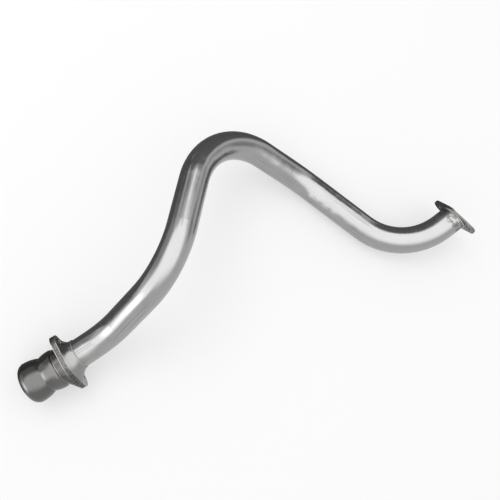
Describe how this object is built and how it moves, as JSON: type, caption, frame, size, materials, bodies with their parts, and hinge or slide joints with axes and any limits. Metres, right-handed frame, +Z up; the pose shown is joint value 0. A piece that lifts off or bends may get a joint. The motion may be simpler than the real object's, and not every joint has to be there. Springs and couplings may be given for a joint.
{
  "type": "exhaust mid pipe",
  "caption": "Bent steel exhaust pipe with a rounded ball end behind a flange with two lugs, and a thin flange at the other end.",
  "frame": {"origin": "on the floor, under the middle of the bounding box, with the pipe lying on its long straight and on the ball", "axes": "+Z up; +X from the ball end to the end with the thin flange; the long straight that lies on the floor runs 36.5 degrees off +X towards -Y"},
  "size_m": [0.7232, 0.423, 0.1809],
  "materials": {
    "tube_steel": "polished, finely brushed",
    "formed_steel": "polished, drawn",
    "flange_steel": "satin faces with a rough sheared rim",
    "plate_steel": "satin",
    "weld_steel": "dull, rippled"
  },
  "bodies": {
    "root": {"bent_tube": "tube_steel", "ball_end": "formed_steel", "inlet_flange": "flange_steel", "outlet_flange": "plate_steel", "inlet_neck_weld": "weld_steel", "outlet_neck_weld": "weld_steel", "ball_end_weld": "weld_steel"}
  },
  "joints": []
}
